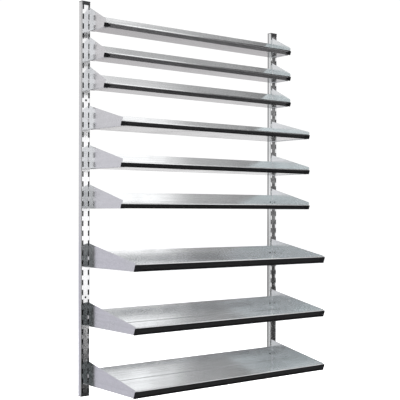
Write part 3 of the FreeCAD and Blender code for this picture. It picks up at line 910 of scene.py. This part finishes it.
def studio_world(scene):
    """A bright studio round the rack, white where the camera sees it.

    What the steel mirrors changes with the compass turn, counted from +Y towards +X, and with height.
    Rings of tones lie one above the other: the low walls, the horizon and the high walls, with a dark patch
    above the front left. Below them is a white floor, and above them a grey ceiling. All angles are degrees.
    """
    world = bpy.data.worlds.new("studio")
    scene.world = world
    world.use_nodes = True
    tree = world.node_tree
    tree.nodes.clear()
    way = axes(tree, tree.nodes.new("ShaderNodeTexCoord").outputs["Generated"])
    share = map_range(tree, math_node(tree, "ARCTAN2", way["X"], way["Y"]), -math.pi, math.pi, smooth=False)
    height = math_node(tree, "DEGREES", math_node(tree, "ARCSINE", way["Z"]))

    def ring(stops):
        """Tones at compass turns in degrees, each a grey or a colour."""
        ramp = tree.nodes.new("ShaderNodeValToRGB")
        tree.links.new(share, ramp.inputs[0])
        marks = ramp.color_ramp.elements
        while len(marks) < len(stops):
            marks.new(1.0)
        for mark, (degrees, tone) in zip(marks, stops):
            colour = (tone, tone, tone) if isinstance(tone, (int, float)) else tone
            mark.position = (degrees + 180.0) / 360.0
            mark.color = (*colour, 1.0)
        return ramp.outputs["Color"]

    lavender, dusk, pearl = (0.66, 0.65, 0.715), (0.585, 0.575, 0.64), (0.64, 0.612, 0.615)
    mint, ice, teal, plum = (0.68, 0.73, 0.72), (0.93, 1.06, 1.06), (0.40, 0.48, 0.48), (0.46, 0.44, 0.45)
    ceiling, zenith = (0.40, 0.41, 0.43), (0.75, 0.75, 0.76)
    horizon = ring([
        (-180, 0.55), (-160, 1.2), (-149, 1.2), (-137, ice), (-110, 0.9), (-52, mint), (-45.5, mint),
        (-44, 1.1), (-41.5, 1.1), (-38, lavender), (-31.2, lavender), (-30.5, 0.74), (-24, 0.74), (-8, 0.5),
        (10, 0.6), (24, 1.0), (60, 1.0), (100, 0.35), (121, 1.1), (130, 1.1), (134, 0.38), (135.6, 0.38),
        (136.2, 0.02), (138, 0.02), (138.6, 0.42), (145, 0.7), (149, 1.3), (160, 1.3), (180, 0.55)])
    high = ring([
        (-180, 0.5), (-160, 1.2), (-149, 1.2), (-137, ice), (-110, 0.8), (-52, mint), (-45.5, mint),
        (-44, 1.1), (-41.5, 1.1), (-38, pearl), (-31.2, pearl), (-30.5, 0.86), (-24, 0.86), (-8, 0.4),
        (10, 0.5), (24, 1.0), (33, 1.0), (38.4, 0.40), (60, 0.02), (100, 0.25), (121, 1.1), (130, 1.1),
        (134, 0.30), (135.6, 0.30), (136.2, 0.02), (138, 0.02), (138.6, 0.34), (141.6, 0.45), (145, 0.8),
        (147.5, 1.2), (160, 1.2), (180, 0.5)])
    low = ring([
        (-180, 0.5), (-165, 0.03), (-146, 0.02), (-140, teal), (-120, 0.5), (-52, mint), (-45.5, mint),
        (-44, 0.65), (-41.5, 0.65), (-38, dusk), (-24, dusk), (0, 0.6), (30, plum), (50, plum), (100, 0.2),
        (135, 0.03), (138, 0.04), (141, 0.12), (149, 0.04), (180, 0.5)])
    # Where the low walls meet the horizon, and how softly, both as shares
    edge_height = ring([
        (-180, 0.4), (-160, 0.45), (-140, 0.56), (-130, 0.56), (0, 0.40), (30, 0.18), (50, 0.18),
        (100, 0.4), (121, 0.2), (130, 0.2), (134, 0.4), (139, 0.4), (149, 0.17), (165, 0.17), (180, 0.4)])
    edge_width = ring([
        (-180, 0.15), (-160, 0.09), (-140, 0.09), (0, 0.15), (30, 0.6), (50, 0.6), (100, 0.15),
        (149, 0.08), (180, 0.15)])
    overhead = ring([(-180, 1.0), (-150, 1.0), (-140, 0.04), (-130, 0.04), (-115, 1.0), (180, 1.0)])
    edge = map_range(tree, edge_height, 0.0, 1.0, -10.0, 10.0, smooth=False)
    soft = map_range(tree, edge_width, 0.0, 1.0, 0.0, 10.0, smooth=False)
    above_edge = math_node(tree, "DIVIDE", math_node(tree, "SUBTRACT", height, edge), soft)
    seen = mix_colour(tree, map_range(tree, above_edge, -1.0, 1.0), low, horizon)
    seen = mix_colour(tree, map_range(tree, height, 3.0, 10.5), seen, high)
    shaded = mix_colour(tree, map_range(tree, height, 9.5, 12.5), WHITE, overhead)
    seen = mix_colour(tree, 1.0, seen, shaded, "MULTIPLY")
    for starts, full, tone in ((22.0, 45.0, ceiling), (50.0, 85.0, zenith), (-23.5, -29.0, WHITE)):
        seen = mix_colour(tree, map_range(tree, height, starts, full), seen, tone)

    light = tree.nodes.new("ShaderNodeBackground")
    tree.links.new(seen, light.inputs["Color"])
    light.inputs["Strength"].default_value = 1.0
    plain = tree.nodes.new("ShaderNodeBackground")
    plain.inputs["Color"].default_value = (*WHITE, 1.0)
    plain.inputs["Strength"].default_value = 1.05
    path = tree.nodes.new("ShaderNodeLightPath")
    choose = tree.nodes.new("ShaderNodeMixShader")
    tree.links.new(path.outputs["Is Camera Ray"], choose.inputs["Fac"])
    tree.links.new(light.outputs[0], choose.inputs[1])
    tree.links.new(plain.outputs[0], choose.inputs[2])
    leave = tree.nodes.new("ShaderNodeOutputWorld")
    tree.links.new(choose.outputs[0], leave.inputs["Surface"])


def studio_floor(context, settings, foot):
    """A round pale floor under the rack, which the steel doesn't mirror and which is clear from below."""
    mesh = bpy.data.meshes.new("studio_floor")
    shape = bmesh.new()
    bmesh.ops.create_circle(shape, cap_ends=True, segments=64, radius=settings.floor_radius)
    shape.to_mesh(mesh)
    shape.free()
    floor = bpy.data.objects.new("studio_floor", mesh)
    floor.location.z = foot - settings.floor_drop
    floor.visible_glossy = False
    context.scene.collection.objects.link(floor)
    finish = Finish("floor_pale", metallic=0.0, specular=0.2)
    marks = finish.group(handling_group)
    colour = tuple(settings.floor_colour)
    soft = math_node(finish.tree, "MULTIPLY", marks.outputs["Smudge"], 0.15)
    finish.colour(mix_colour(finish.tree, soft, colour, shade(colour, 0.985)))
    finish.shader.inputs["Roughness"].default_value = 0.9
    finish.shader.inputs["Emission Color"].default_value = (*WHITE, 1.0)
    finish.shader.inputs["Emission Strength"].default_value = settings.floor_glow
    from_below = finish.tree.nodes.new("ShaderNodeNewGeometry").outputs["Backfacing"]
    from_above = math_node(finish.tree, "SUBTRACT", 1.0, from_below)
    finish.tree.links.new(from_above, finish.shader.inputs["Alpha"])
    mesh.materials.append(finish.material)


def studio_card(context, settings):
    """A soft card in front of the rack, bright low on its left. Only the steel and the plastic see it."""
    corner = Vector(settings.card_place)
    width, height = settings.card_size
    mesh = bpy.data.meshes.new("studio_card")
    outline = [(0, 0), (width, 0), (width, height), (0, height)]
    mesh.from_pydata([corner + Vector((x, 0, z)) for x, z in outline], [], [(3, 2, 1, 0)])
    card = bpy.data.objects.new("studio_card", mesh)
    card.visible_camera = False
    card.visible_shadow = False
    context.scene.collection.objects.link(card)
    material = bpy.data.materials.new("card_glow")
    material.use_nodes = True
    tree = material.node_tree
    tree.nodes.clear()
    place = axes(tree, tree.nodes.new("ShaderNodeTexCoord").outputs["Object"])
    left = map_range(tree, place["X"], corner.x + 0.6 * width, corner.x + 0.95 * width, 1.0, 0.0)
    low = map_range(tree, place["Z"], corner.z + 0.66 * height, corner.z + 0.98 * height, 1.0, 0.0)
    tone = mix_colour(tree, math_node(tree, "MULTIPLY", left, low), (0.33, 0.33, 0.33), WHITE)
    glow = tree.nodes.new("ShaderNodeEmission")
    glow.inputs["Strength"].default_value = settings.card_glow
    tree.links.new(tone, glow.inputs["Color"])
    leave = tree.nodes.new("ShaderNodeOutputMaterial")
    tree.links.new(glow.outputs[0], leave.inputs["Surface"])
    mesh.materials.append(material)


def studio_lamp(context, settings):
    """A large soft lamp overhead, a little in front of the rack."""
    data = bpy.data.lights.new("studio_lamp", "AREA")
    data.shape = "SQUARE"
    data.size = settings.lamp_size
    data.energy = settings.lamp_power
    lamp = bpy.data.objects.new("studio_lamp", data)
    lamp.location = (0.0, -settings.lamp_size / 3, settings.lamp_height)
    lamp.visible_glossy = False
    context.scene.collection.objects.link(lamp)


def studio_camera(context, settings):
    """The camera, to the front left of the rack."""
    data = bpy.data.cameras.new("studio_camera")
    data.sensor_width = 36.0
    data.lens = settings.lens
    data.shift_x = settings.frame_side
    data.shift_y = settings.frame_rise
    camera = bpy.data.objects.new("studio_camera", data)
    camera.location = settings.camera_place
    camera.rotation_euler = (math.pi / 2, -settings.camera_roll, -settings.camera_turn)
    context.scene.collection.objects.link(camera)
    context.scene.camera = camera


class RACK_OT_set_studio(bpy.types.Operator):
    """Set up the floor, the light and the camera"""

    bl_idname = "rack.set_studio"
    bl_label = "Set Up Studio"

    def execute(self, context):
        settings = context.scene.rack_studio
        context.scene.view_settings.view_transform = "Standard"
        studio_world(context.scene)
        studio_floor(context, settings, CAD_BOX[0].z)
        studio_card(context, settings)
        studio_lamp(context, settings)
        studio_camera(context, settings)
        return {"FINISHED"}


STEPS = (
    RACK_OT_set_studio,
    RACK_OT_finish_uprights,
    RACK_OT_finish_caps,
    RACK_OT_finish_trays,
    RACK_OT_finish_brackets,
    RACK_OT_build_ticket_strips,
    RACK_OT_build_screws,
)


class RACK_PT_looks(bpy.types.Panel):
    """Lists the steps that dress the rack, and the sizes and colours that they use"""

    bl_idname = "RACK_PT_looks"
    bl_label = "Wall Rack"
    bl_space_type = "VIEW_3D"
    bl_region_type = "UI"
    bl_category = "Wall Rack"

    def draw(self, context):
        for step in STEPS:
            self.layout.operator(step.bl_idname)
        for group in SETTINGS:
            settings = getattr(context.scene, group)
            box = self.layout.box()
            for name in settings.bl_rna.properties.keys():
                if name not in ("rna_type", "name"):
                    box.prop(settings, name)


SETTINGS = {
    "rack_finish": RackFinishSettings,
    "rack_strips": RackStripSettings,
    "rack_screws": RackScrewSettings,
    "rack_studio": RackStudioSettings,
}
CLASSES = (*SETTINGS.values(), *STEPS, RACK_PT_looks)


def register():
    """Makes the steps, the panel and the settings known to Blender."""
    for cls in CLASSES:
        bpy.utils.register_class(cls)
    for name, group in SETTINGS.items():
        setattr(bpy.types.Scene, name, PointerProperty(type=group))


def unregister():
    """Takes them out again."""
    for name in SETTINGS:
        delattr(bpy.types.Scene, name)
    for cls in reversed(CLASSES):
        bpy.utils.unregister_class(cls)


def main():
    """Dresses the rack step by step."""
    register()
    for step in STEPS:
        family, name = step.bl_idname.split(".")
        getattr(getattr(bpy.ops, family), name)()


if __name__ == "__main__":
    main()
